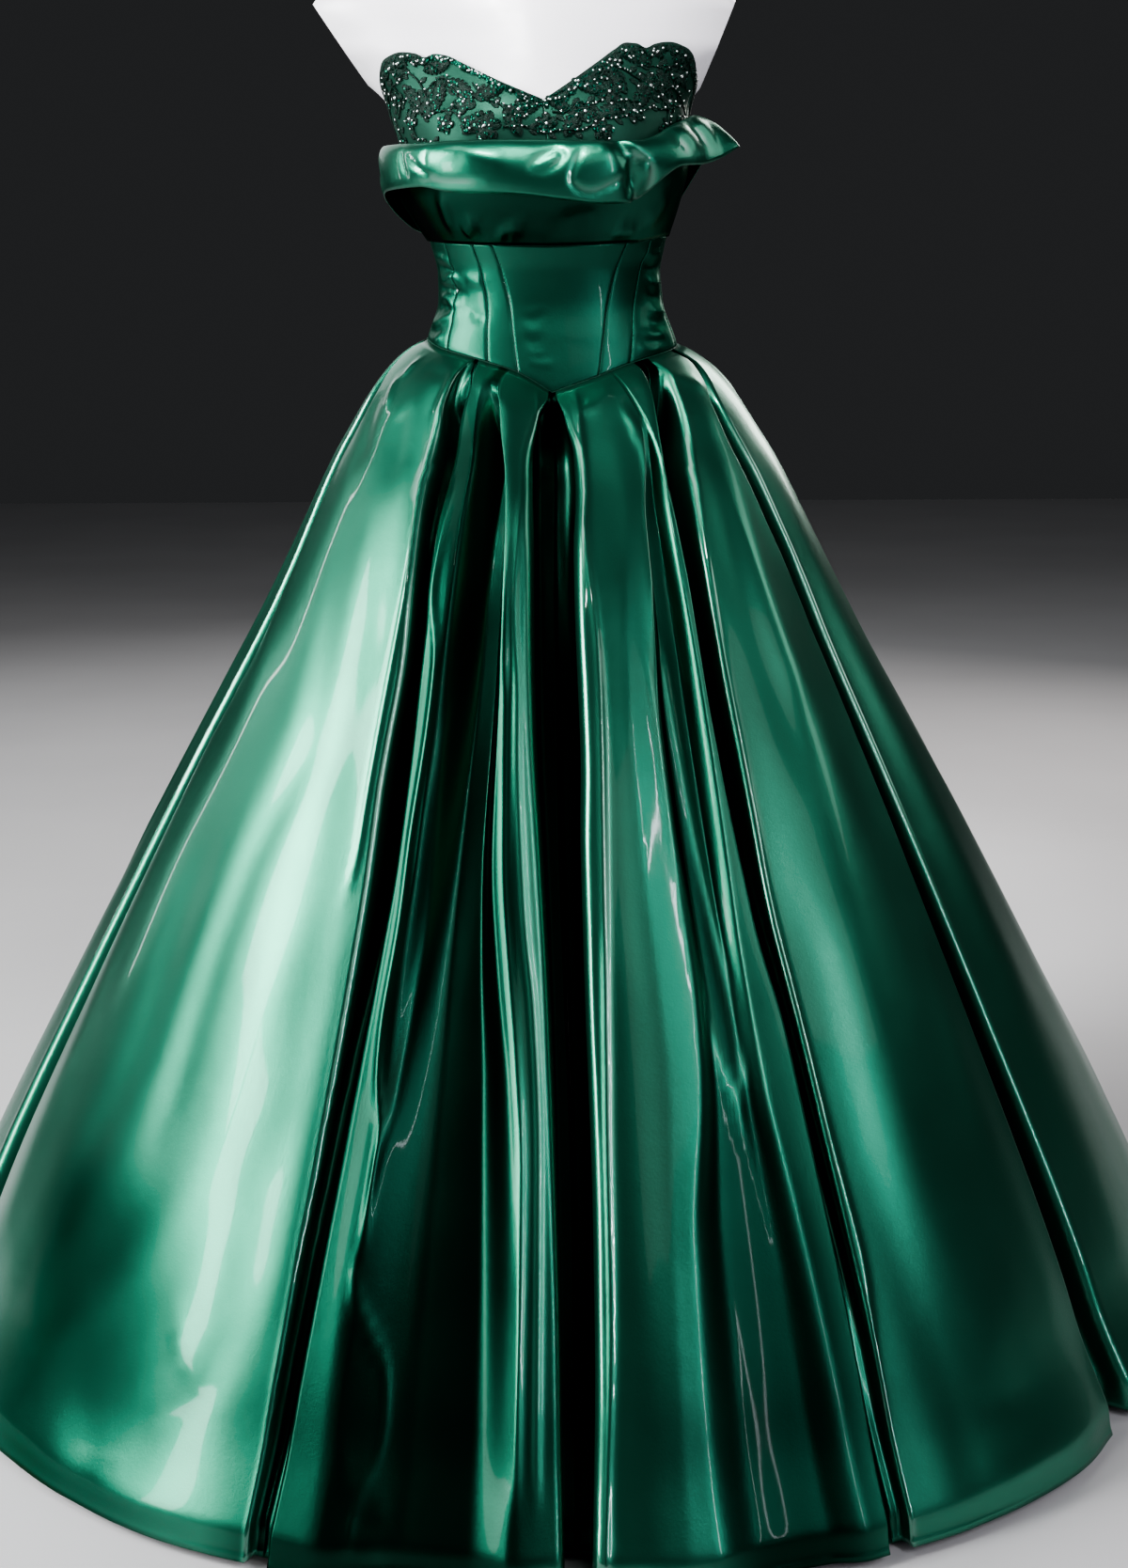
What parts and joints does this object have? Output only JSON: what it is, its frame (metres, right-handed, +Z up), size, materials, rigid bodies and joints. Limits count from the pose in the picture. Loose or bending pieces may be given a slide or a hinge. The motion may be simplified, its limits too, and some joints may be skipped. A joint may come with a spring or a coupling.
{
  "type": "strapless ball gown on a dress form",
  "caption": "Floor-length strapless satin ball gown with lace bodice, folded drape and pleated skirt, on a limbless dress form with a round stand.",
  "frame": {"origin": "floor under the middle of the gown and its stand", "axes": "+Z up, -Y to the front of the gown, +X to the wearer's left"},
  "size_m": [1.4869, 1.4701, 1.6],
  "materials": {
    "emerald_satin": "glossy duchess satin",
    "beaded_lace": "corded lace with beads over satin",
    "form_shell": "satin white shell",
    "stand_metal": "brushed"
  },
  "bodies": {
    "root": {"bodice_back_left": "beaded_lace", "bodice_back_right": "beaded_lace", "corset_back_left": "emerald_satin", "corset_back_right": "emerald_satin", "corset_centre_front": "emerald_satin", "corset_front_left": "emerald_satin", "corset_front_right": "emerald_satin", "corset_side_front_left": "emerald_satin", "corset_side_front_right": "emerald_satin", "corset_side_left": "emerald_satin", "corset_side_right": "emerald_satin", "cup_left": "beaded_lace", "cup_right": "beaded_lace", "drape_band": "emerald_satin", "dress_form_torso": "form_shell", "form_base": "stand_metal", "form_neck_cap": "form_shell", "form_pole": "stand_metal", "skirt_back_left": "emerald_satin", "skirt_back_right": "emerald_satin", "skirt_front_inner_left": "emerald_satin", "skirt_front_inner_right": "emerald_satin", "skirt_front_outer_left": "emerald_satin", "skirt_front_outer_right": "emerald_satin", "skirt_side_left": "emerald_satin", "skirt_side_right": "emerald_satin"}
  },
  "joints": []
}
